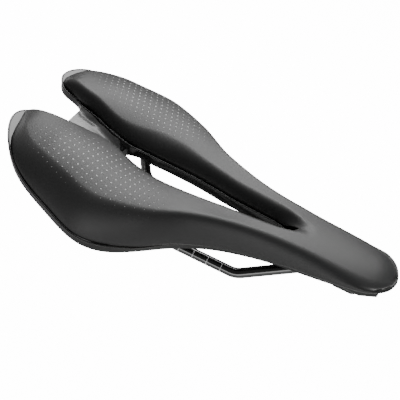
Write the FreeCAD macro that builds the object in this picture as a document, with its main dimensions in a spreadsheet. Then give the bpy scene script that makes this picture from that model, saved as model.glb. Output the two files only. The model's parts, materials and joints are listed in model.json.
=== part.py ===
"""Bicycle saddle, short nose, split rear wings, full-length cut-out, round 7 mm rails.

Frame: millimetres, +X towards the nose, +Y to the rider's left, +Z up. The origin is the middle
of the rails' straight clamping length, half-way between the two rails, at rail-centre height.
"""
import FreeCAD, Part
import math
import os
import Sketcher

os.makedirs("parts", exist_ok=True)
doc = FreeCAD.newDocument("saddle")
Vector = FreeCAD.Vector

# ---------------------------------------------------------------- driving dimensions
sheet = doc.addObject("Spreadsheet::Sheet", "dims")
DIMENSIONS = [
    ("overall_length", 255.0),
    ("overall_width", 147.0),
    ("rear_to_clamp", 123.0),  # rear edge to the middle of the clamping length
    ("rail_radius", 3.5),
    ("rail_spacing", 44.0),  # centre to centre over the clamping length
    ("clamp_length", 80.0),
    ("rail_bend", 14.0),  # inside a bend, centreline radius
    ("shell_thick", 3.2),
    ("rim_thick", 2.4),
    ("flange_depth", 6.8),
    ("flange_thick", 2.2),
    ("ledge", 1.8),  # shell showing inside the cut-out, between its lip and the padding
    ("pad_inset", 1.6),  # rim showing outside the padding
    ("cover_thick", 1.1),
    ("insert_thick", 5.0),
    ("bridge_thick", 1.6),
    ("bushing_wall", 1.5),
    ("bushing_length", 13.0),
    ("socket_floor", 19.0),  # underside of the rear sockets above the rail centres
    ("cap_thick", 2.4),
    ("screw_shank", 1.5),
    ("screw_head", 3.0),
    ("screw_head_height", 2.0),
    ("chin_width", 27.0),
    ("mark_width", 0.5),
    ("mark_pitch", 10.0),
]
for row, (alias, value) in enumerate(DIMENSIONS, start=1):
    sheet.set(f"A{row}", alias)
    sheet.set(f"B{row}", str(value))
    sheet.setAlias(f"B{row}", alias)
doc.recompute()


def dim(alias):
    return float(sheet.get(alias))


def at(part_of_length):
    """Station along the saddle, 0 at the rear edge and 1 at the nose tip, as x."""
    return part_of_length * dim("overall_length") - dim("rear_to_clamp")


# ---------------------------------------------------------------- the shape lines
# Each line is (share of the length from the rear, value). Widths are shares of the half width.
SIDE = [(0.0, 0.38), (0.028, 0.67), (0.085, 0.84), (0.19, 0.952), (0.285, 1.0), (0.385, 0.83),
        (0.49, 0.53), (0.61, 0.347), (0.745, 0.27), (0.92, 0.225), (0.985, 0.165), (1.0, 0.13)]
RIM_TOP = [(0.0, 51.1), (0.03, 47.1), (0.085, 39.1), (0.185, 29.1), (0.285, 21.6), (0.385, 18.6),
           (0.49, 19.6), (0.61, 22.3), (0.745, 24.9), (0.85, 27.6), (0.92, 29.8), (0.97, 32.2),
           (1.0, 33.2)]
RIM_HEIGHT = [(0.0, 4.6), (0.55, 4.6), (0.8, 3.6), (1.0, 3.5)]
INNER_TOP = [(0.0, 50.0), (0.035, 47.2), (0.083, 44.2), (0.124, 42.6), (0.166, 41.0),
             (0.204, 39.0), (0.252, 36.0), (0.307, 33.2), (0.371, 31.1), (0.436, 30.8),
             (0.512, 30.6), (0.6, 30.9), (0.72, 31.4), (0.87, 31.2), (0.94, 31.8), (1.0, 33.0)]
VALLEY = [(0.0, 0.0), (0.045, 0.8), (0.09, 2.6), (0.12, 3.6), (0.16, 4.8), (0.2, 6.2), (0.25, 6.2),
          (0.3, 4.5), (0.36, 0.0), (1.0, 0.0)]
GAP = [(0.0, 0.29), (0.04, 0.255), (0.083, 0.215), (0.124, 0.19), (0.166, 0.15), (0.204, 0.122),
       (0.252, 0.12), (0.307, 0.158), (0.371, 0.188), (0.436, 0.184), (0.512, 0.155),
       (0.55, 0.133), (0.61, 0.113), (0.67, 0.092), (0.72, 0.06)]
CREST = [(0.0, 53.4), (0.04, 53.4), (0.085, 52.4), (0.13, 50.4), (0.17, 47.6), (0.21, 45.4),
         (0.252, 43.6), (0.307, 41.8), (0.371, 41.6), (0.436, 42.8), (0.512, 42.8), (0.6, 41.8),
         (0.72, 41.0), (0.85, 39.8), (0.93, 39.0), (1.0, 37.6)]
SWELL = [(0.0, 0.5), (0.05, 1.0), (0.1, 2.0), (0.17, 5.0), (0.24, 6.0), (0.3, 5.2), (0.38, 3.6),
         (0.45, 1.5), (0.52, 0.3), (0.58, 0.0), (1.0, 0.0)]
DROP = [(0.0, 6.0), (0.1, 5.0), (0.17, 2.8), (0.24, 1.6), (0.38, 1.0), (0.45, 1.0), (0.52, 2.2),
        (0.7, 3.0), (1.0, 4.0)]
ROLL = [(0.0, 5.0), (0.17, 5.0), (0.21, 5.4), (0.252, 8.0), (0.307, 12.0), (0.371, 15.0),
        (0.436, 13.0), (0.512, 10.0), (0.6, 8.0), (0.7, 6.0), (0.8, 7.0), (1.0, 8.0)]
OVERHANG = [(0.0, 0.0), (0.38, 0.0), (0.5, 2.6), (0.62, 4.0), (0.75, 4.6), (0.92, 6.0), (1.0, 5.4)]
SHOULDER = [(0.0, 13.0), (0.3, 13.0), (0.42, 8.0), (0.55, 5.5), (1.0, 5.0)]


def follow(line, share):
    """Height or width of a shape line at a station: a cubic through its points."""
    share = min(max(share, line[0][0]), line[-1][0])
    count = len(line)
    i = max(k for k in range(count - 1) if line[k][0] <= share)
    (x0, y0), (x1, y1) = line[i], line[i + 1]

    def slope(k):
        low, high = max(k - 1, 0), min(k + 1, count - 1)
        return (line[high][1] - line[low][1]) / (line[high][0] - line[low][0])

    run = x1 - x0
    f = (share - x0) / run
    rise = y1 - y0
    return (y0 + f * run * slope(i)
            + f * f * (3 * rise - run * (2 * slope(i) + slope(i + 1)))
            + f * f * f * (run * (slope(i) + slope(i + 1)) - 2 * rise))


def half_width(share):
    return follow(SIDE, share) * dim("overall_width") / 2


def half_pad(share):
    """Padding's own half width: inside the rim at the wings, bulging past it at the nose."""
    return half_width(share) - dim("pad_inset") + follow(OVERHANG, share)


def half_gap(share):
    if share > 0.72:
        return 0.0
    return follow(GAP, share) * dim("overall_width") / 2


def half_slot(share):
    """Half width between the shell's two inner lips, which stand inside the padding's edges."""
    return half_gap(share) - dim("ledge")


def shell_top(share, across):
    """Shell's upper face: level by the cut-out, falling to the rim as the square of the way out.

    Behind the cut-out it dips into a valley between the wings.
    """
    inner, rim = follow(INNER_TOP, share), follow(RIM_TOP, share)
    full = half_width(max(share, 0.06))
    out = max(abs(across) - half_gap(share), 0.0) / (full - half_gap(share))
    down = min(max((half_slot(share) - abs(across)) / 3.8, 0.0), 1.0)
    dip = follow(VALLEY, share) * down * down * (3.0 - 2.0 * down)
    return inner + (rim - inner) * out ** 2.2 - dip


def under_rim(share, across):
    return shell_top(share, across) - follow(RIM_HEIGHT, share)


def eased(distance, over):
    """0 at an edge rising to 1 inside it, like a quarter of a rounded shoulder."""
    f = min(max(distance / over, 0.0), 1.0)
    return (1.0 - (1.0 - f) ** 2.4) ** (1 / 1.7)


def pad_top(share, across):
    """Padding's upper face: the crest line rolled down to the shell at both edges."""
    base = shell_top(share, across)
    outer, gap = half_pad(max(share, 0.06)), half_gap(share)
    out = max(abs(across) - gap, 0.0) / (outer - gap)
    crown = follow(CREST, share) + follow(SWELL, share) * 4.0 * out * (1.0 - out)
    crown -= follow(DROP, share) * out ** 2
    lift = eased(outer - abs(across), follow(SHOULDER, share))
    hollow = min(max((0.77 - share) / 0.06, 0.0), 1.0)
    inner_lift = min(max((abs(across) - gap) / follow(ROLL, share), 0.0), 1.0)
    inner_lift = math.sin(inner_lift * math.pi / 2)
    lift *= 1.0 - hollow * (1.0 - inner_lift)
    ends = eased(share * dim("overall_length") + 1.0, 12.0)
    ends *= eased((1.012 - share) * dim("overall_length"), 14.0)
    return base + (crown - base) * lift * ends + 0.6


# ---------------------------------------------------------------- free-form solids
STATIONS = [0.0, 0.02, 0.05, 0.09, 0.14, 0.19, 0.24, 0.29, 0.34, 0.39, 0.44, 0.50, 0.56, 0.62,
            0.68, 0.72, 0.76, 0.82, 0.88, 0.93, 0.97, 1.0]
ACROSS = [0.0, 0.04, 0.08, 0.12, 0.16, 0.2, 0.25, 0.34, 0.45, 0.58, 0.7, 0.8, 0.88, 0.94, 0.98, 1.0]


def face_over(height, reach_of):
    """Smooth face through height(share, across), reaching a little past the outline."""
    rows = []
    for share in [-0.02] + STATIONS + [1.02]:
        inside = min(max(share, 0.0), 1.0)
        span = max(reach_of(max(inside, 0.06)), 14.0)
        shares = [-a for a in reversed(ACROSS[1:])] + ACROSS
        row = [Vector(at(share), a * span, height(inside, a * span)) for a in shares]
        slope_out = row[-1].z - row[-2].z
        edge = Vector(at(share), span + 5.0, row[-1].z + slope_out)
        rows.append([Vector(edge.x, -edge.y, edge.z)] + row + [edge])
    surface = Part.BSplineSurface()
    surface.interpolate(rows)
    return surface.toShape()


def upright(wire, low=-10.0, high=90.0):
    """Upright prism standing on a closed plan outline."""
    flat = Part.Face(wire)
    flat.translate(Vector(0, 0, low))
    return flat.extrude(Vector(0, 0, high - low))


def in_pieces(curve, spans=3):
    """Curve as a chain of short edges, so that areas and volumes come out exact."""
    knots = curve.getKnots()
    ends = knots[:-1:spans] + knots[-1:]
    pieces = []
    for first, last in zip(ends, ends[1:]):
        piece = curve.copy()
        piece.segment(first, last)
        pieces.append(piece.toShape())
    return pieces


def mirrored(points):
    """The same points on the other side, in the order that carries on round the outline."""
    return [Vector(p.x, -p.y, p.z) for p in reversed(points)]


def plan_outline(inset=0.0, rear_inset=0.0):
    """Saddle's outline from above: from the rear notch round the nose and back."""
    half = dim("overall_width") / 2
    left = [Vector(at(0.090) + rear_inset, half * 0.165 + inset, 0)]
    left.append(Vector(at(0.070) + rear_inset, half * 0.21 + inset, 0))
    left.append(Vector(at(0.025) + rear_inset, half * 0.235 + inset, 0))
    left.append(Vector(at(0.0) + rear_inset, half * 0.35, 0))
    for share, width in SIDE[1:-2]:
        back = rear_inset * max(1.0 - share / 0.1, 0.0)
        left.append(Vector(at(share) + back, half * width - inset, 0))
    left.append(Vector(at(0.972) - 0.5 * inset, half * 0.155 - 0.7 * inset, 0))
    around = Part.BSplineCurve()
    around.interpolate(left + [Vector(at(0.987) - inset, 0, 0)] + mirrored(left))
    rear = Part.makeLine(Vector(left[0].x, -left[0].y, 0), left[0])
    return Part.Wire(in_pieces(around) + [rear])


def cut_out_outline(grow=0.0):
    """The long hole between the wings, from the bridge forward to the nose."""
    half = dim("overall_width") / 2
    left = [Vector(at(0.240) - grow, half * 0.05, 0)]
    left.append(Vector(at(0.258) - 0.5 * grow, half * 0.095 + grow, 0))
    for share in [0.31, 0.37, 0.43, 0.49, 0.55, 0.61, 0.66]:
        left.append(Vector(at(share), half_slot(share) + grow, 0))
    left.append(Vector(at(0.703) + 0.5 * grow, half * 0.035 + 0.8 * grow, 0))
    front = [Vector(at(0.713) + grow, 0, 0)]
    around = Part.BSplineCurve()
    around.interpolate(Points=left + front + mirrored(left), PeriodicFlag=True)
    return Part.Wire(in_pieces(around))


def pad_outline(inset):
    """Padding from above: nose, outer edge, rear end of a wing, inner edge, and the mirror.

    inset is measured from the padding's own edge.
    """
    half = dim("overall_width") / 2
    left = [Vector(at(0.985) - 0.5 * inset, half * 0.19 - 0.7 * inset, 0)]
    left += [Vector(at(share), half_pad(share) - inset, 0) for share, _ in reversed(SIDE[2:-2])]
    left.append(Vector(at(0.038) + inset, half * 0.66 - inset, 0))
    left.append(Vector(at(0.016) + inset, half * 0.42, 0))
    left.append(Vector(at(0.028) + inset, half * 0.27 + inset, 0))
    for share in [0.09, 0.15, 0.235, 0.31, 0.37, 0.43, 0.49, 0.55, 0.61, 0.67]:
        left.append(Vector(at(share), half_gap(share) + inset, 0))
    left.append(Vector(at(0.715) + 0.5 * inset, half * 0.045 + 0.8 * inset, 0))
    front = [Vector(at(0.727) + inset, 0, 0)]
    tip = [Vector(at(1.0) - inset, 0, 0)]
    around = Part.BSplineCurve()
    around.interpolate(Points=tip + left + front + mirrored(left), PeriodicFlag=True)
    return Part.Wire(in_pieces(around))


def bridge_outline():
    """Bridge plate from above, between the wings from the rear notch to the cut-out."""
    half = dim("overall_width") / 2
    edge = [(0.092, 0.165), (0.12, 0.145), (0.15, 0.12), (0.18, 0.095), (0.205, 0.078),
            (0.226, 0.065), (0.234, 0.03)]
    left = [Vector(at(share), half * width, 0) for share, width in edge]
    around = Part.BSplineCurve()
    around.interpolate(left + mirrored(left))
    rear = Part.makeLine(Vector(left[0].x, -left[0].y, 0), left[0])
    return Part.Wire(in_pieces(around) + [rear])


def kept(name, shape):
    """Sub-part whose free-form shape comes from the shape lines."""
    part = doc.addObject("Part::Feature", name)
    part.Shape = shape
    part.Placement = FreeCAD.Placement()
    return part


TOP_OF_SHELL = face_over(shell_top, half_width)
UNDER_RIM = face_over(under_rim, half_width)
TOP_OF_PAD = face_over(pad_top, half_pad)


def lowered(face, drop):
    return face.translated(Vector(0, 0, -drop))


def below(face, depth):
    return face.extrude(Vector(0, 0, -depth))


TOP_OF_FOAM = lowered(TOP_OF_PAD, dim("cover_thick"))


def base_shell():
    """Hard shell: a curved plate with a rim turned down outside and a flange in the cut-out."""
    block = upright(plan_outline()).cut(upright(cut_out_outline()))
    block = block.common(below(TOP_OF_SHELL, dim("flange_depth")))
    rim_core = upright(plan_outline(dim("rim_thick"), dim("rim_thick")))
    hollow = below(lowered(TOP_OF_SHELL, dim("shell_thick")), 30).common(rim_core)
    hollow = hollow.fuse(below(UNDER_RIM, 25))
    hollow = hollow.cut(upright(cut_out_outline(dim("flange_thick"))))
    return kept("base_shell", block.cut(hollow))


def bridge_plate():
    """Satin plate lying on the shell between the two wings of padding."""
    zone = upright(bridge_outline()).cut(below(TOP_OF_SHELL, 90))
    return kept("bridge_plate", zone.common(below(lowered(TOP_OF_SHELL, -dim("bridge_thick")), 9)))


def pad_zone(face, inset):
    """Everything between the shell and a padding face, inside the padding's outline."""
    return upright(pad_outline(inset)).common(below(face, 60)).cut(below(TOP_OF_SHELL, 90))


def sit_insert(name, side):
    """Pocket of loose grains under the cover, where a sit bone rests."""
    oval = Part.Ellipse(Vector(0, 0, 0), 34.0, 17.0).toShape()
    oval.rotate(Vector(0, 0, 0), Vector(0, 0, 1), 8.0 * side)
    oval.translate(Vector(at(0.26), side * 41.0, 0))
    prism = upright(Part.Wire([oval]))
    return kept(name, prism.common(below(TOP_OF_FOAM, dim("insert_thick"))))


def padding():
    """Foam moulding with a pocket for each insert, and the cover stretched over it."""
    left = sit_insert("left_sit_insert", 1)
    right = sit_insert("right_sit_insert", -1)
    soft = pad_zone(TOP_OF_FOAM, dim("cover_thick"))
    foam = kept("foam_padding", soft.cut(left.Shape).cut(right.Shape))
    cover = kept("pad_cover", pad_zone(TOP_OF_PAD, 0.0).cut(soft))
    return [foam, cover, left, right]


# ---------------------------------------------------------------- rails
def rail_corners(side):
    """Corner points of one rail, from its rear end to its front end."""
    start = -dim("clamp_length") / 2
    spread = dim("rail_spacing") / 2
    return [
        Vector(at(0.25), side * 31.5, 29.5),
        Vector(start - 5.0, side * spread, 0),
        Vector(-start, side * spread, 0),
        Vector(at(0.785), side * 12.5, 22.5),
        Vector(at(0.885), side * 9.0, 24.5),
    ]


def bent_wire(corners, radius):
    """Straight runs joined by arcs of one radius."""
    edges = []
    start = corners[0]
    for before, corner, after in zip(corners, corners[1:], corners[2:]):
        back = (before - corner).normalize()
        ahead = (after - corner).normalize()
        half_angle = back.getAngle(ahead) / 2
        reach = radius / math.tan(half_angle)
        middle = (back + ahead).normalize() * (radius / math.sin(half_angle) - radius)
        entry, leave = corner + back * reach, corner + ahead * reach
        edges.append(Part.makeLine(start, entry))
        edges.append(Part.Arc(entry, corner + middle, leave).toShape())
        start = leave
    edges.append(Part.makeLine(start, corners[-1]))
    return Part.Wire(edges)


def rod(name, side, radius):
    """Round bar swept along one rail's path; radius is a sheet formula."""
    corners = rail_corners(side)
    path = kept(name + "_path", bent_wire(corners, dim("rail_bend")))
    ring = doc.addObject("Part::Circle", name + "_section")
    ring.setExpression("Radius", radius)
    along = FreeCAD.Rotation(Vector(0, 0, 1), corners[1] - corners[0])
    ring.Placement = FreeCAD.Placement(corners[0], along)
    sweep = doc.addObject("Part::Sweep", name)
    sweep.Sections = [ring]
    sweep.Spine = (path, [f"Edge{i + 1}" for i in range(len(path.Shape.Edges))])
    sweep.Solid = True
    sweep.Frenet = False
    return sweep


def rail_marks(name, side):
    """Graduation marks round the outer half of one rail, evenly spaced along the clamp."""
    radius = dim("rail_radius")
    rings = []
    for i in range(-3, 4):
        start = Vector(i * dim("mark_pitch") - dim("mark_width") / 2,
                       side * dim("rail_spacing") / 2, 0)
        ahead = Vector(1, 0, 0)
        outer = Part.makeCylinder(radius + 0.06, dim("mark_width"), start, ahead, 180)
        inner = Part.makeCylinder(radius, dim("mark_width"), start, ahead)
        ring = outer.cut(inner)
        ring.rotate(start, ahead, 180 if side > 0 else 0)
        rings.append(ring)
    return kept(name, Part.makeCompound(rings))


# ---------------------------------------------------------------- moulded blocks and fasteners
def profile_body(name, plane, points, feature, bind, corners=None):
    """PartDesign body: a closed straight-sided profile padded or turned, edges rounded."""
    body = doc.addObject("PartDesign::Body", name)
    sketch = body.newObject("Sketcher::SketchObject", name + "_profile")
    origin_plane = [f for f in body.Origin.OriginFeatures if f.Role == plane][0]
    sketch.AttachmentSupport = [(origin_plane, "")]
    sketch.MapMode = "FlatFace"
    for (x0, y0), (x1, y1) in zip(points, points[1:] + points[:1]):
        sketch.addGeometry(Part.LineSegment(Vector(x0, y0, 0), Vector(x1, y1, 0)))
    count = len(points)
    for i in range(count):
        sketch.addConstraint(Sketcher.Constraint("Coincident", i, 2, (i + 1) % count, 1))
    solid = body.newObject("PartDesign::" + feature, name + "_solid")
    solid.Profile = sketch
    if feature == "Revolution":
        solid.ReferenceAxis = (sketch, ["V_Axis"])
        solid.Angle = 360
    else:
        solid.Midplane = plane == "XZ_Plane"
        solid.setExpression("Length", bind)
    sketch.Visibility = False
    doc.recompute()
    if corners:
        edges, radius = corners
        fillet = body.newObject("PartDesign::Fillet", name + "_rounding")
        fillet.Base = (solid, [f"Edge{i + 1}" for i, e in enumerate(solid.Shape.Edges)
                               if edges(e)])
        fillet.Radius = radius
        body.Tip = fillet
    else:
        body.Tip = solid
    return body


def upright_edge(edge):
    low, high = (v.Point for v in edge.Vertexes)
    return abs(high.z - low.z) > 1 and abs(high.x - low.x) + abs(high.y - low.y) < 0.01


def lengthwise_edge(edge):
    """Edge running front to back on a side of the chin, below its seat."""
    first, last = (v.Point for v in edge.Vertexes)
    return abs(first.y - last.y) < 0.01 and min(first.z, last.z) < 25


def block(name, length, width, height, x, y, z, corner):
    """Upright block with rounded corners, centred on x and y, standing on z."""
    half, wide = length / 2, width / 2
    points = [(-half, -wide), (half, -wide), (half, wide), (-half, wide)]
    body = profile_body(name, "XY_Plane", points, "Pad", height, (upright_edge, corner))
    body.Placement = FreeCAD.Placement(Vector(x, y, z), FreeCAD.Rotation())
    return body


def screw(name, length, x, y, z):
    """Pan-head screw pointing up, head underneath."""
    shank, head, thick = dim("screw_shank"), dim("screw_head"), dim("screw_head_height")
    points = [(0, -thick), (head * 0.7, -thick), (head, -thick * 0.5), (head, 0), (shank, 0),
              (shank, length), (0, length)]
    body = profile_body(name, "XZ_Plane", points, "Revolution", None)
    body.Placement = FreeCAD.Placement(Vector(x, y, z), FreeCAD.Rotation())
    return body


def carved(name, base, tools):
    """Base with every tool cut away."""
    tool = tools[0]
    if len(tools) > 1:
        tool = doc.addObject("Part::MultiFuse", name + "_hollows")
        tool.Shapes = tools
    cut = doc.addObject("Part::Cut", name)
    cut.Base = base
    cut.Tool = tool
    return cut


def group(name, members):
    """Identical fasteners kept as separate solids under one name."""
    together = doc.addObject("Part::Compound", name)
    together.Links = members
    return together


def bushing_rod(name, side, radius, length):
    """Bar round the rear end of one rail, reaching a little past it."""
    rear, bend = rail_corners(side)[:2]
    ahead = (bend - rear).normalize()
    rod_part = doc.addObject("Part::Cylinder", name)
    rod_part.setExpression("Radius", radius)
    rod_part.setExpression("Height", length)
    turn = FreeCAD.Rotation(Vector(0, 0, 1), ahead)
    rod_part.Placement = FreeCAD.Placement(rear - ahead * 1.2, turn)
    return rod_part


def shank_hole(name, x, y, z, length):
    hole = doc.addObject("Part::Cylinder", name)
    hole.setExpression("Radius", "dims.screw_shank")
    hole.Height = length
    hole.Placement = FreeCAD.Placement(Vector(x, y, z), FreeCAD.Rotation())
    return hole


def rear_mounting(word, side, roof, screws):
    """Socket, its cap and the bushing that hold the rear end of one rail."""
    bore = rod(word + "_rear_bore", side, "dims.rail_radius + 0.03")
    cup = bushing_rod(word + "_bushing_room", side,
                      "dims.rail_radius + dims.bushing_wall", "dims.bushing_length")
    bushing_core = bushing_rod(word + "_bushing_core", side,
                               "dims.rail_radius + dims.bushing_wall - 0.03",
                               "dims.bushing_length")
    floor, thick = dim("socket_floor"), dim("cap_thick")
    x, y = at(0.25), side * 32.0
    trimmed = carved(word + "_rail_bushing", bushing_core, [bore])
    socket_block = block(word + "_socket_block", 30, 17, "22", x, y, floor, 4.0)
    cap_block = block(word + "_cap_block", 30, 17, "dims.cap_thick", x, y, floor - thick, 4.0)
    holes = []
    for end in (-1, 1):
        place = (x + end * 11.5, y - side * end * 3.0, floor - thick)
        holes.append(shank_hole(f"{word}_hole_{len(screws)}", *place, 12.0))
        screws.append(screw(f"{word}_screw_{len(screws)}", 11.8, *place))
    socket = carved(word + "_rear_socket", socket_block, [roof, cup, bore] + holes)
    cap = carved(word + "_socket_cap", cap_block, [cup, bore] + holes)
    return [trimmed, socket, cap]


def nose_mounting(roof, bores):
    """Chin-like socket under the nose for both rail fronts, with its cap and screws."""
    seat, lip, base = 36.0, 20.4, 18.0
    outline = [(at(0.81), seat), (at(0.825), lip), (at(0.935), lip), (at(0.972), 25.5),
               (at(0.972), seat)]
    low = [(at(0.858), lip), (at(0.870), base), (at(0.918), base), (at(0.930), lip)]
    upper = profile_body("nose_block", "XZ_Plane", outline, "Pad", "dims.chin_width",
                         (lengthwise_edge, 1.5))
    lower = profile_body("nose_cap_block", "XZ_Plane", low, "Pad", "dims.chin_width - 3")
    holes, screws = [], []
    for i, share in enumerate((0.879, 0.909)):
        holes.append(shank_hole(f"nose_hole_{i}", at(share), 0, base, 9.0))
        screws.append(screw(f"nose_screw_{i}", 8.8, at(share), 0, base))
    socket = carved("nose_socket", upper, [roof] + bores + holes)
    cap = carved("nose_cap", lower, holes)
    return [socket, cap, group("nose_screws", screws)]


def build_all():
    """Every sub-part by name."""
    parts = [base_shell(), bridge_plate()] + padding()
    roof = kept("space_above_shell", lowered(TOP_OF_SHELL, dim("shell_thick")).extrude(
        Vector(0, 0, 80)))
    rails = [rod("left_rail", 1, "dims.rail_radius"), rod("right_rail", -1, "dims.rail_radius")]
    bores = [rod("left_front_bore", 1, "dims.rail_radius + 0.03"),
             rod("right_front_bore", -1, "dims.rail_radius + 0.03")]
    marks = [rail_marks("left_rail_marks", 1), rail_marks("right_rail_marks", -1)]
    screws = []
    mountings = rear_mounting("left", 1, roof, screws) + rear_mounting("right", -1, roof, screws)
    mountings.append(group("socket_screws", screws))
    clip = block("clip_block", 22, 17, "16", at(0.155), 0, 27.0, 3.0)
    slot = block("clip_slot", 14, 9, "dims.cap_thick + 3", at(0.155), 0, 27.0, 1.5)
    plug = block("clip_cover", 13.9, 8.9, "dims.cap_thick", at(0.155), 0, 27.0, 1.5)
    clip_parts = [carved("accessory_clip", clip, [roof, slot]), plug]
    return parts + rails + marks + mountings + nose_mounting(roof, bores) + clip_parts


sub_parts = build_all()
doc.recompute()
for item in doc.Objects:
    if "Invalid" in item.State or "Error" in item.State:
        raise SystemExit(f"{item.Name} did not build: {item.State}")
for part in sub_parts:
    if part.Shape.isNull() or not part.Shape.isValid() or not part.Shape.Solids:
        raise SystemExit(f"{part.Label} has no valid solid")
for part in sub_parts:
    part.Shape.exportStep(f"parts/{part.Label}.step")
    print(part.Label, len(part.Shape.Solids), round(part.Shape.Volume, 1))
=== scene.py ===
import json
import math
import bmesh
import bpy
import numpy as np
from mathutils import Matrix, Vector


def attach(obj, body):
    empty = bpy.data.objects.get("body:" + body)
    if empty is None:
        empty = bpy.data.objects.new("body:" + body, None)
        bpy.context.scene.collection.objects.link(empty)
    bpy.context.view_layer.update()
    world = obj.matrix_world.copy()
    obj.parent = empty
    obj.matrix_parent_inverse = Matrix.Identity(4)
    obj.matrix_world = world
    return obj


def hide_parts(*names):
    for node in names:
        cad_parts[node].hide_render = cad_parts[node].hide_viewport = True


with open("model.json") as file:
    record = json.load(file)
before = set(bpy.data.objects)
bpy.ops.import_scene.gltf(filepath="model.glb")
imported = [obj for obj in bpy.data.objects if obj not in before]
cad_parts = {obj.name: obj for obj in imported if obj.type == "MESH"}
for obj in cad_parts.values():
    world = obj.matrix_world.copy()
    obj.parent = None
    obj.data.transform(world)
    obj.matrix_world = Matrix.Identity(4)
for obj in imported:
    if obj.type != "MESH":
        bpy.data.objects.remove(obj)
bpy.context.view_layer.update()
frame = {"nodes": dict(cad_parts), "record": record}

mm = 0.001
quarter = math.pi / 2

# overall sizes of the saddle, in millimetres, x measured from the clamp's middle
saddle = {
    "length": 255.0,
    "halfWidth": 73.5,
    "rear": -123.0,
    "rimInset": 1.3,
    "ledge": 1.8,
    "rimFrom": 0.06,   # behind this share the shell's top keeps one full width
    "fall": 2.2,       # how late the shell's top bends down to the rim
    "cutFront": 0.735,
}

# shape lines: share of the length from the rear, then the value
# widths are shares of the half width, heights are above the rail centres
shape = {
    "side": [(0.0, 0.38), (0.028, 0.67), (0.085, 0.84), (0.19, 0.952), (0.285, 1.0),
             (0.385, 0.83), (0.49, 0.53), (0.61, 0.347), (0.745, 0.27), (0.92, 0.225),
             (0.985, 0.165), (1.0, 0.13)],
    "rimTop": [(0.0, 51.1), (0.03, 47.1), (0.085, 39.1), (0.185, 29.1), (0.285, 21.6),
               (0.385, 18.6), (0.49, 19.6), (0.61, 22.3), (0.745, 24.9), (0.85, 27.6),
               (0.92, 29.8), (0.97, 32.2), (1.0, 33.2)],
    "innerTop": [(0.0, 50.0), (0.035, 47.2), (0.083, 44.2), (0.124, 42.6), (0.166, 41.0),
                 (0.204, 39.0), (0.252, 36.0), (0.307, 33.2), (0.371, 31.1), (0.436, 30.8),
                 (0.512, 30.6), (0.6, 30.9), (0.72, 31.4), (0.87, 31.2), (0.94, 31.8), (1.0, 33.0)],
    "gap": [(0.0, 0.29), (0.04, 0.255), (0.083, 0.215), (0.124, 0.19), (0.166, 0.15),
            (0.204, 0.122), (0.252, 0.12), (0.307, 0.158), (0.371, 0.188), (0.436, 0.184),
            (0.512, 0.155), (0.55, 0.133), (0.61, 0.113), (0.67, 0.092), (0.72, 0.06)],
    "crest": [(0.0, 53.4), (0.04, 53.4), (0.085, 52.4), (0.13, 50.4), (0.17, 47.6), (0.21, 45.4),
              (0.252, 43.2), (0.307, 41.4), (0.371, 40.4), (0.436, 40.2), (0.512, 40.0),
              (0.6, 40.0), (0.72, 40.6), (0.85, 39.8), (0.93, 39.0), (1.0, 37.6)],
    "swell": [(0.0, 0.5), (0.05, 1.0), (0.1, 2.2), (0.17, 5.6), (0.24, 6.6), (0.3, 5.6),
              (0.38, 4.0), (0.45, 1.6), (0.52, 0.3), (0.58, 0.0), (1.0, 0.0)],
    "drop": [(0.0, 6.0), (0.1, 5.4), (0.17, 4.2), (0.24, 3.0), (0.3, 1.6), (0.38, 0.2),
             (0.45, -0.9), (0.52, -1.8), (0.6, -1.0), (0.7, 0.6), (1.0, 2.6)],
    "roll": [(0.0, 5.0), (0.17, 5.0), (0.21, 5.4), (0.252, 8.0), (0.307, 11.0), (0.371, 10.0),
             (0.436, 7.5), (0.512, 6.0), (0.6, 6.0), (0.7, 6.0), (0.8, 9.0), (1.0, 9.0)],
    "overhang": [(0.0, 0.0), (0.38, 0.0), (0.5, 2.6), (0.62, 4.0), (0.75, 4.6), (0.92, 6.0),
                 (1.0, 5.4)],
    "shoulder": [(0.0, 13.0), (0.3, 13.0), (0.42, 9.0), (0.55, 7.0), (1.0, 7.0)],
    "bulge": [(0.0, 0.8), (0.35, 0.8), (0.5, 3.0), (0.65, 4.6), (0.9, 4.6), (1.0, 3.0)],
}


def follow(line, share):  # smooth cubic through a shape line's points
    pts = np.array(shape[line])
    x, y = pts[:, 0], pts[:, 1]
    share = np.clip(share, x[0], x[-1])
    low = np.r_[0, np.arange(len(x) - 1)]
    high = np.r_[np.arange(1, len(x)), len(x) - 1]
    slope = (y[high] - y[low]) / (x[high] - x[low])
    i = np.clip(np.searchsorted(x, share, side="right") - 1, 0, len(x) - 2)
    run, rise = x[i + 1] - x[i], y[i + 1] - y[i]
    f = (share - x[i]) / run
    m0, m1 = slope[i] * run, slope[i + 1] * run
    return y[i] + f * m0 + f * f * (3 * rise - 2 * m0 - m1) + f ** 3 * (m0 + m1 - 2 * rise)


def smooth(low, high, value):  # 0 below low, 1 above high, eased between
    f = np.clip((value - low) / (high - low), 0, 1)
    return f * f * (3 - 2 * f)


def atX(share):
    return share * saddle["length"] + saddle["rear"]


def rimWidth(share):
    return follow("side", share) * saddle["halfWidth"]


def gapWidth(share):
    return np.where(share > saddle["cutFront"], 0.0, follow("gap", share) * saddle["halfWidth"])


def shellTop(share, across):  # inner height + fall to the rim * share of the way out ** fall
    rim = follow("rimTop", share)
    inner, gap = follow("innerTop", share), gapWidth(share)
    full = rimWidth(np.maximum(share, saddle["rimFrom"]))
    out = np.maximum(np.abs(across) - gap, 0) / (full - gap)
    return inner + (rim - inner) * out ** saddle["fall"]


def gridFaces(rows, columns, offset=0, flip=False):  # quads of a rows x columns grid
    i = np.arange(rows - 1)[:, None] * columns + np.arange(columns - 1)[None] + offset
    quads = np.stack([i, i + columns, i + columns + 1, i + 1], -1).reshape(-1, 4)
    return quads[:, ::-1] if flip else quads


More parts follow.
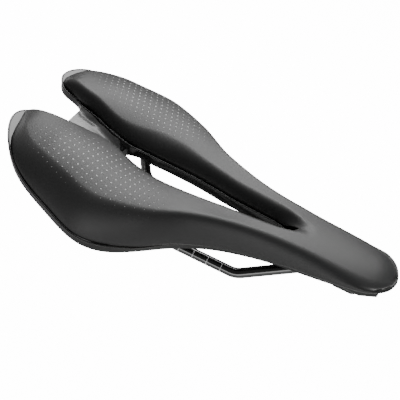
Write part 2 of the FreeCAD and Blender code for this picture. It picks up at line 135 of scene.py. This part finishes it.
def makePiece(name, points, faces, looks):  # object at the origin, points in mm
    mesh = bpy.data.meshes.new(name)
    mesh.vertices.add(len(points))
    mesh.vertices.foreach_set("co", (np.asarray(points) * mm).astype(np.float32).ravel())
    mesh.loops.add(faces.size)
    mesh.loops.foreach_set("vertex_index", faces.astype(np.int32).ravel())
    mesh.polygons.add(len(faces))
    size = faces.shape[1]
    mesh.polygons.foreach_set("loop_start", np.arange(0, faces.size, size, dtype=np.int32))
    mesh.update(calc_edges=True)
    mesh.polygons.foreach_set("use_smooth", np.ones(len(faces), dtype=bool))
    mesh.validate()
    piece = bpy.data.objects.new(name, mesh)
    bpy.context.scene.collection.objects.link(piece)
    for look in looks:
        mesh.materials.append(look)
    return piece


def weld(piece, distance=0.00004):  # joins points that lie on each other
    bm = bmesh.new()
    bm.from_mesh(piece.data)
    bmesh.ops.remove_doubles(bm, verts=bm.verts, dist=distance)
    bmesh.ops.dissolve_degenerate(bm, edges=bm.edges, dist=distance / 4)
    bmesh.ops.recalc_face_normals(bm, faces=bm.faces)
    bm.to_mesh(piece.data)
    bm.free()


class Look:  # one material being built
    def __init__(self, name):
        self.material = bpy.data.materials.new(name)
        self.material.use_nodes = True
        self.tree = self.material.node_tree
        self.shader = self.tree.nodes["Principled BSDF"]

    def node(self, kind, settings=None, **links):
        made = self.tree.nodes.new(kind)
        for key, value in (settings or {}).items():
            setattr(made, key, value)
        for key, value in links.items():
            numbered = key[0] == "i" and key[1:].isdigit()  # i0 is the first socket
            self.put(value, made.inputs[int(key[1:]) if numbered else key])
        return made

    def put(self, value, socket):
        if isinstance(value, Wire):
            self.tree.links.new(value.socket, socket)
        else:
            socket.default_value = value

    def wire(self, node, output=0):
        return Wire(self, node.outputs[output])

    def place(self):  # object coordinates, in metres
        return self.wire(self.node("ShaderNodeTexCoord"), "Object")

    def noise(self, scale, detail=2.0):
        made = self.node("ShaderNodeTexNoise", Scale=scale, Detail=detail, Vector=self.place())
        return self.wire(made)

    def mix(self, factor, first, second):  # colours
        made = self.node("ShaderNodeMix", {"data_type": "RGBA"})
        for key, value in ((0, factor), (6, first), (7, second)):
            self.put(value, made.inputs[key])
        return self.wire(made, 2)

    def bump(self, height, strength, distance):
        made = self.node("ShaderNodeBump", Strength=strength, Distance=distance, Height=height)
        return self.wire(made)

    def set(self, **values):
        for key, value in values.items():
            self.put(value, self.shader.inputs[key.replace("_", " ")])
        return self.material


class Wire:  # a socket that can be added, multiplied and compared
    def __init__(self, look, socket):
        self.look, self.socket = look, socket

    def maths(self, operation, first, second=0.0):
        made = self.look.node("ShaderNodeMath", {"operation": operation}, i0=first, i1=second)
        return Wire(self.look, made.outputs[0])

    def __add__(self, other):
        return self.maths("ADD", self, other)

    def __radd__(self, other):
        return self.maths("ADD", other, self)

    def __sub__(self, other):
        return self.maths("SUBTRACT", self, other)

    def __rsub__(self, other):
        return self.maths("SUBTRACT", other, self)

    def __mul__(self, other):
        return self.maths("MULTIPLY", self, other)

    def __rmul__(self, other):
        return self.maths("MULTIPLY", other, self)

    def __truediv__(self, other):
        return self.maths("DIVIDE", self, other)

    def __pow__(self, other):
        return self.maths("POWER", self, other)

    def __abs__(self):
        return self.maths("ABSOLUTE", self)

    def ramp(self, low, high):  # eased 0 to 1 between low and high
        made = self.look.node("ShaderNodeMapRange", {"interpolation_type": "SMOOTHSTEP"},
                              i0=self, i1=low, i2=high, i3=0.0, i4=1.0)
        return Wire(self.look, made.outputs[0])

    def split(self):
        made = self.look.node("ShaderNodeSeparateXYZ", i0=self)
        return [Wire(self.look, out) for out in made.outputs]


def grey(level):
    return (level, level, level, 1.0)


# matte synthetic cover: black, fine leather-like grain, a field of raised dots over each wing
cover = {
    "colour": 0.022, "dotColour": 0.45, "roughness": 0.5, "grain": 0.10, "dotHeight": 0.8,
    "grainScale": 2600.0, "patchScale": 38.0, "patch": 0.08, "bump": (0.5, 0.0002),
    "grainShine": 0.10, "dotShine": 0.12,   # how far grain and dots change the roughness
    "dotPitch": 4.1, "dotTurn": 18.0, "dotSize": 0.46, "dotEdge": 0.12, "dotFade": (0.05, 0.2),
    "fieldCentre": (-60.0, 40.0), "fieldReach": (60.0, 28.0), "fieldFade": (0.35, 1.0),
}


def coverLook():
    look = Look("cover skin")
    x, y, z = look.place().split()
    x, y = x * 1000.0, abs(y) * 1000.0  # millimetres, the same on both wings
    # dots stand on a square grid, turned outwards from the saddle's length
    pitch, turn = cover["dotPitch"], math.radians(cover["dotTurn"])
    along, outward = math.cos(turn) / pitch, math.sin(turn) / pitch
    u, v = x * along + y * outward, y * along - x * outward
    du = u.maths("FRACT", u) - 0.5
    dv = v.maths("FRACT", v) - 0.5
    fromDot = (du * du + dv * dv) ** 0.5 * pitch
    # the field is an oval, full in the middle and fading at its edge
    cx, cy = cover["fieldCentre"]
    rx, ry = cover["fieldReach"]
    ox, oy = (x - cx) / rx, (y - cy) / ry
    oval = (ox * ox + oy * oy) ** 0.5
    size = (1.0 - oval.ramp(*cover["fieldFade"])) * cover["dotSize"]
    edge = cover["dotEdge"]
    dot = (1.0 - (fromDot - size).ramp(-edge, edge)) * size.ramp(*cover["dotFade"])
    fine = look.noise(cover["grainScale"], 3.0)
    patches = look.noise(cover["patchScale"])
    shade = look.mix(patches, grey(cover["colour"] * (1 - cover["patch"])),
                     grey(cover["colour"] * (1 + cover["patch"])))
    height = fine * cover["grain"] + dot * cover["dotHeight"]
    shine = (fine - 0.5) * cover["grainShine"] - dot * cover["dotShine"]
    look.set(Base_Color=look.mix(dot, shade, grey(cover["dotColour"])),
             Normal=look.bump(height, *cover["bump"]), Roughness=cover["roughness"] + shine)
    return look.material


# moulded and metal parts: size of the ripple and of the fine variation, and how strong they are
moulded = {"ripple": 22.0, "bump": (0.25, 0.0004), "fine": 300.0, "spread": 0.06}
metal = {"fine": 900.0, "spread": 0.08, "shade": 0.1}


def mouldedLook(name, colour, roughness):
    look = Look(name)
    ripple = look.noise(moulded["ripple"])
    look.set(Base_Color=grey(colour), Normal=look.bump(ripple, *moulded["bump"]),
             Roughness=roughness + (look.noise(moulded["fine"]) - 0.5) * moulded["spread"])
    return look.material


def metalLook(name, colour, roughness):
    look = Look(name)
    streak = look.noise(metal["fine"])
    darker, lighter = grey(colour * (1 - metal["shade"])), grey(colour * (1 + metal["shade"]))
    look.set(Base_Color=look.mix(streak, darker, lighter), Metallic=1.0,
             Roughness=roughness + (streak - 0.5) * metal["spread"])
    return look.material


# the numbers are the grey level and the roughness
looks = {
    "cover": coverLook(),
    "shell": mouldedLook("gloss black shell", 0.012, 0.10),
    "bridge": mouldedLook("satin grey bridge", 0.12, 0.28),
    "rail": metalLook("dark rail", 0.10, 0.16),
    "marks": mouldedLook("white marks", 0.8, 0.4),
    "socket": mouldedLook("black moulding", 0.02, 0.22),
    "screw": metalLook("screw steel", 0.55, 0.3),
    "bushing": mouldedLook("black elastomer", 0.02, 0.55),
    "clip": mouldedLook("matte plug", 0.03, 0.5),
    "foam": mouldedLook("dark foam", 0.10, 0.85),
    "insert": mouldedLook("grain pocket", 0.25, 0.6),
}
for part in frame["record"]["subparts"]:
    node = frame["nodes"][part["node"]]
    node.data.materials.clear()
    node.data.materials.append(looks[part["material_slot"]])
print("materials done")

# the cushion: ends and ranges are shares of the length, the rest are millimetres or exponents
padding = {
    "rearEnd": 0.014, "rearReach": 3.5, "rearMiddle": 0.34, "rearBlunt": 2.0,
    "noseTip": 1.0, "noseReach": 15.0, "noseBlunt": 2.5,
    "behindEnds": (0.02, 0.11),   # where the rim stops standing out behind the padding
    "frontTaper": 0.07,           # length of the cut-out's rounded front end
    "mostInner": 0.45, "mostOuter": 0.5,       # rolls never take more of the width than this
    "wingBlunt": 1.6, "waistBlunt": 2.4, "bluntEases": (0.3, 0.45), "topRound": 1.7,
    "edgeRound": 0.6,             # inner edge's steepness beside the cut-out
    "edgeEases": (0.66, 0.745), "hollowEases": (0.68, 0.77),
    "rearRise": (12.0, 2.4), "noseRise": (15.0, 2.2), "riseRound": 1.9,
    "hemInset": 0.9, "wingHem": 0.5, "wingHemEnd": 0.35,
    "clear": 0.3, "hemClear": 0.1, "skin": 1.0, "pastRim": 1.2,
    "rows": {"rear": 22, "wing": 90, "nose": 22},
    "columns": {"inner": 14, "top": 22, "outer": 26, "tuck": 9},
}


def bluntEnd(distance, reach, blunt):
    # 0 at the end, 1 beyond reach: (1 - left ** blunt) to the power of 1 / blunt
    left = np.clip(1 - distance / reach, 0, 1)
    return (1 - left ** blunt) ** (1 / blunt)


def padPlan(share):  # inner edge, outer edge, hem and cut-out of the cushion seen from above
    x = atX(share)
    rear = bluntEnd(x - atX(padding["rearEnd"]), padding["rearReach"], padding["rearBlunt"])
    nose = bluntEnd(atX(padding["noseTip"]) - x, padding["noseReach"], padding["noseBlunt"])
    middle = padding["rearMiddle"] * saddle["halfWidth"]
    behind = padding["rearEnd"] * (1 - smooth(*padding["behindEnds"], share))
    outer = rimWidth(share - behind) - saddle["rimInset"] + follow("overhang", share)
    front = np.clip((saddle["cutFront"] - share) / padding["frontTaper"], 0, 1)
    gap = gapWidth(share) * (1 - (1 - front) ** 2) ** 0.5
    outer = (middle + (outer - middle) * rear) * nose
    inner = middle - (middle - gap) * rear
    hem = np.minimum(outer, rimWidth(share) * nose - padding["hemInset"])
    hem = np.where(share < padding["wingHemEnd"], outer - padding["wingHem"], hem)
    return inner, outer, hem, gap


def padLift(share, q, turn):
    # 0 at the shell, 1 at the crown: inner edge's rise * outer quarter oval * rise from both ends
    steps = padding["columns"]["inner"] + padding["columns"]["top"]
    flat = np.ones((len(share), steps))
    lift = np.concatenate([flat, np.cos(turn) ** (2 / padding["topRound"]) * flat[:, :1]], 1)
    # beside the cut-out the edge rises as an oval, ahead of it as a cosine that fades to nothing
    soft = smooth(*padding["edgeEases"], share)[:, None]
    oval = (1 - (1 - q) ** 2) ** padding["edgeRound"]
    innerLift = oval * (1 - soft) + (0.5 - 0.5 * np.cos(q * math.pi)) * soft
    hollow = 1 - smooth(*padding["hollowEases"], share)[:, None]
    lift = lift * (1 - hollow * (1 - innerLift))
    x = atX(share)
    fromRear, fromNose = x - atX(padding["rearEnd"]), atX(padding["noseTip"]) - x
    for distance, rise in ((fromRear, padding["rearRise"]), (fromNose, padding["noseRise"])):
        end = np.clip(distance / rise[0], 0, 1)
        lift = lift * ((1 - (1 - end) ** rise[1]) ** (1 / padding["riseRound"]))[:, None]
    return lift


def padSection(share, columns):
    # one row of points per station, from the inner edge over the top to the tucked hem
    x = atX(share)
    inner, outer, hem, gap = padPlan(share)
    wide = outer - inner
    inRoll = np.minimum(follow("roll", share), padding["mostInner"] * wide)
    outRoll = np.minimum(follow("shoulder", share), padding["mostOuter"] * wide)
    part = {key: np.arange(count) / count for key, count in columns.items()}
    turn = part["outer"] * quarter
    # wings slope away from the top sooner than the waist does
    blunt = padding["wingBlunt"] + (padding["waistBlunt"] - padding["wingBlunt"]) * smooth(
        *padding["bluntEases"], share)[:, None]
    y = np.concatenate([
        inner[:, None] + inRoll[:, None] * part["inner"],
        (inner + inRoll)[:, None] + (wide - inRoll - outRoll)[:, None] * part["top"],
        (outer - outRoll)[:, None] + outRoll[:, None] * np.sin(turn) ** (2 / blunt),
    ], 1)
    s = share[:, None] * np.ones_like(y)
    # base: the shell's top, raised to the foot of the outer side by bulge * reach cubed
    bulge = follow("bulge", share)[:, None]
    foot = shellTop(share, outer)[:, None] + bulge
    reach = np.clip((y - inner[:, None]) / np.maximum(wide, 1e-6)[:, None], 0, 1)
    base = shellTop(s, y) + bulge * reach ** 3
    # crown: crest + swell in the middle of the wing - drop growing to the rim
    full = rimWidth(np.maximum(s, saddle["rimFrom"]))
    out = np.clip((y - gap[:, None]) / np.maximum(full - gap[:, None], 1), 0, padding["pastRim"])
    crown = (follow("crest", s) + follow("swell", s) * 4 * out * (1 - out)
             - follow("drop", s) * out ** 2)
    q = np.clip((y - inner[:, None]) / np.maximum(inRoll, 1e-6)[:, None], 0, 1)
    z = base + (crown - base) * padLift(share, q, turn) + padding["clear"]
    # tuck: a quarter oval from the widest line in to the hem on the rim
    turn = np.arange(columns["tuck"] + 1) / columns["tuck"] * quarter
    top = foot + padding["clear"]
    hemHeight = (shellTop(share, np.minimum(hem, outer)) + padding["hemClear"])[:, None]
    yTuck = hem[:, None] + (outer - hem)[:, None] * np.cos(turn)
    zTuck = top - (top - hemHeight) * np.sin(turn)
    y, z = np.concatenate([y, yTuck], 1), np.concatenate([z, zTuck], 1)
    return np.stack([x[:, None] * np.ones_like(y), y, z], -1)


def padStations():  # shares of the length, closer together where the ends turn
    rows = padding["rows"]
    first, last = padding["rearEnd"], padding["noseTip"]
    turn = np.arange(rows["rear"]) / rows["rear"] * quarter
    rearShare = padding["rearReach"] / saddle["length"]
    noseShare = padding["noseReach"] / saddle["length"]
    rear = first + rearShare * (1 - np.cos(turn))
    wing = np.linspace(first + rearShare, last - noseShare, rows["wing"], endpoint=False)
    turn = np.arange(rows["nose"] + 1) / rows["nose"] * quarter
    nose = last - noseShare * (1 - np.sin(turn))
    return np.concatenate([rear, wing, nose])


def padCover():
    share = padStations()
    left = padSection(share, padding["columns"])
    rows, columns = left.shape[:2]
    right = left * (1, -1, 1)
    points = np.concatenate([left.reshape(-1, 3), right.reshape(-1, 3)])
    faces = np.concatenate([gridFaces(rows, columns),
                            gridFaces(rows, columns, rows * columns, flip=True)])
    piece = makePiece("padCover", points, faces, [looks["cover"]])
    weld(piece)
    skin = piece.modifiers.new("skin", "SOLIDIFY")
    skin.thickness = padding["skin"] * mm
    skin.offset = -1.0
    return piece


coverPiece = padCover()
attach(coverPiece, "root")
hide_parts("pad_cover", "foam_padding")
print("padding done")

# the shell's rolled lip: a thin bead along its edge, round the outside and round the cut-out
lip = {
    "radius": 0.6, "turns": 12, "steps": 720, "raise": -0.25,
    "noseSide": (0.972, 0.155), "noseTip": 0.987,
    "wingEnd": [(0.0, 0.35), (0.025, 0.235), (0.070, 0.21)],   # share, share of the half width
    "slotRear": 0.08, "slotEnd": 0.68, "slotTurn": (0.703, 0.035), "slotFront": 0.713,
}


def lipPlan():  # corners of the lip seen from above, from the nose tip round the left half
    half = saddle["halfWidth"]
    plan = [(lip["noseTip"], 0.0)]
    plan += [(share, half * width) for share, width in [lip["noseSide"], *shape["side"][-3:0:-1]]]
    plan += [(share, half * width) for share, width in lip["wingEnd"]]
    plan += [(share, half * width - saddle["ledge"]) for share, width in shape["gap"]
             if lip["slotRear"] < share < lip["slotEnd"]]
    plan += [(lip["slotTurn"][0], half * lip["slotTurn"][1]), (lip["slotFront"], 0.0)]
    left = np.array(plan)
    return np.concatenate([left, left[-2:0:-1] * (1, -1)])


def roundClosed(corners, steps):
    # closed curve through the corners: each stretch is a cubic whose slopes come from neighbours
    length = np.linalg.norm((np.roll(corners, -1, 0) - corners) * (saddle["length"], 1), axis=1)
    before = np.roll(length, 1)[:, None]
    after = length[:, None]
    ahead = (np.roll(corners, -1, 0) - corners) / after
    back = (corners - np.roll(corners, 1, 0)) / before
    slope = (back * after + ahead * before) / (before + after)
    start = np.r_[0, np.cumsum(length)]
    place = np.arange(steps) / steps * start[-1]
    i = np.searchsorted(start, place, side="right") - 1
    f = ((place - start[i]) / length[i])[:, None]
    nextOne = (i + 1) % len(corners)
    rise = corners[nextOne] - corners[i]
    m0, m1 = slope[i] * after[i], slope[nextOne] * after[i]
    return corners[i] + f * m0 + f * f * (3 * rise - 2 * m0 - m1) + f ** 3 * (m0 + m1 - 2 * rise)


def tubeAlong(path, radius, turns):
    # ring of points carried along a path: centre + radius * (cos * side + sin * up)
    ahead = np.roll(path, -1, 0) - np.roll(path, 1, 0)
    ahead /= np.linalg.norm(ahead, axis=1, keepdims=True)
    side = np.cross(ahead, (0.0, 0.0, 1.0))
    side /= np.linalg.norm(side, axis=1, keepdims=True)
    up = np.cross(side, ahead)
    angle = np.arange(turns) / turns * 2 * math.pi
    ring = (np.cos(angle)[None, :, None] * side[:, None]
            + np.sin(angle)[None, :, None] * up[:, None]) * radius
    points = path[:, None] + ring
    i = np.arange(len(path))[:, None] * turns
    j = np.arange(turns)[None]
    ahead = (i + turns) % (len(path) * turns)
    quads = np.stack([i + j, ahead + j, ahead + (j + 1) % turns, i + (j + 1) % turns], -1)
    return points.reshape(-1, 3), quads.reshape(-1, 4)


def shellLip():
    plan = roundClosed(lipPlan(), lip["steps"])
    share, across = plan[:, 0], plan[:, 1]
    height = shellTop(np.clip(share, 0, 1), np.abs(across)) + lip["raise"]
    path = np.stack([atX(share), across, height], -1)
    points, faces = tubeAlong(path, lip["radius"], lip["turns"])
    piece = makePiece("shellLip", points, faces, [looks["shell"]])
    weld(piece, 0.000001)
    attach(piece, "root")


shellLip()
print("shell lip done")

# angles in degrees, places and sizes in metres; focal is the lens over the sensor's width
view = {
    "azimuth": 8.3, "elevation": 40.4, "roll": 20.0, "distance": 0.454,
    "focal": 1.659, "sensor": 36.0, "target": (-0.0035, 0.0143, 0.0126), "nearest": 0.01,
}


def addCamera():  # stands on a sphere round the target and is rolled about its own axis
    a, e, r = (math.radians(view[key]) for key in ("azimuth", "elevation", "roll"))
    back = Vector((math.sin(a) * math.cos(e), -math.cos(a) * math.cos(e), math.sin(e)))
    right = Vector((math.cos(a), math.sin(a), 0))
    up = back.cross(right)
    tiltedRight = right * math.cos(r) + up * math.sin(r)
    tiltedUp = up * math.cos(r) - right * math.sin(r)
    data = bpy.data.cameras.new("camera")
    data.sensor_width = view["sensor"]
    data.lens = view["focal"] * view["sensor"]
    data.clip_start = view["nearest"]
    camera = bpy.data.objects.new("camera", data)
    turn = Matrix((tiltedRight, tiltedUp, back)).transposed().to_4x4()
    place = Vector(view["target"]) + back * view["distance"]
    camera.matrix_world = Matrix.Translation(place) @ turn
    bpy.context.scene.collection.objects.link(camera)
    bpy.context.scene.camera = camera


stage = {
    "floorHalf": 6000.0, "floorHeight": -250.0, "floorGrey": 0.85, "floorRoughness": 0.9,
    "floorGlow": 14.0, "worldStrength": 0.12,
    # name: place, width, height, power
    "lights": {
        "back softbox": ((-0.13, 0.72, 0.95), 0.95, 0.8, 22.0),
        "left softbox": ((-1.05, 0.44, 0.36), 0.35, 0.5, 3.0),
        "overhead softbox": ((0.0, -0.05, 1.25), 0.7, 0.5, 2.5),
        "front fill": ((0.25, -1.1, -0.1), 1.0, 0.5, 5.0),
    },
}


def addLight(name, place, width, height, power):  # a rectangle that faces the saddle
    data = bpy.data.lights.new(name, "AREA")
    data.shape = "RECTANGLE"
    data.size, data.size_y = width, height
    data.energy = power
    lamp = bpy.data.objects.new(name, data)
    lamp.location = place
    lamp.rotation_euler = (-Vector(place)).to_track_quat("-Z", "Y").to_euler()
    bpy.context.scene.collection.objects.link(lamp)


def addStage():
    world = bpy.data.worlds.new("studio")
    world.use_nodes = True
    background = world.node_tree.nodes["Background"]
    background.inputs[0].default_value = grey(1.0)
    background.inputs[1].default_value = stage["worldStrength"]
    bpy.context.scene.world = world
    corners = np.array([(-1.0, -1, 0), (1, -1, 0), (1, 1, 0), (-1, 1, 0)]) * stage["floorHalf"]
    corners[:, 2] = stage["floorHeight"]
    look = Look("pale floor")
    seen = look.wire(look.node("ShaderNodeLightPath"))  # 1 where the camera sees it directly
    look.set(Base_Color=grey(stage["floorGrey"]), Roughness=stage["floorRoughness"],
             Emission_Color=look.mix(seen, grey(0.0), grey(1.0)),
             Emission_Strength=stage["floorGlow"])
    makePiece("floor", corners, np.array([[0, 1, 2, 3]]), [look.material])
    for name, settings in stage["lights"].items():
        addLight(name, *settings)


addCamera()
addStage()
print("stage done")
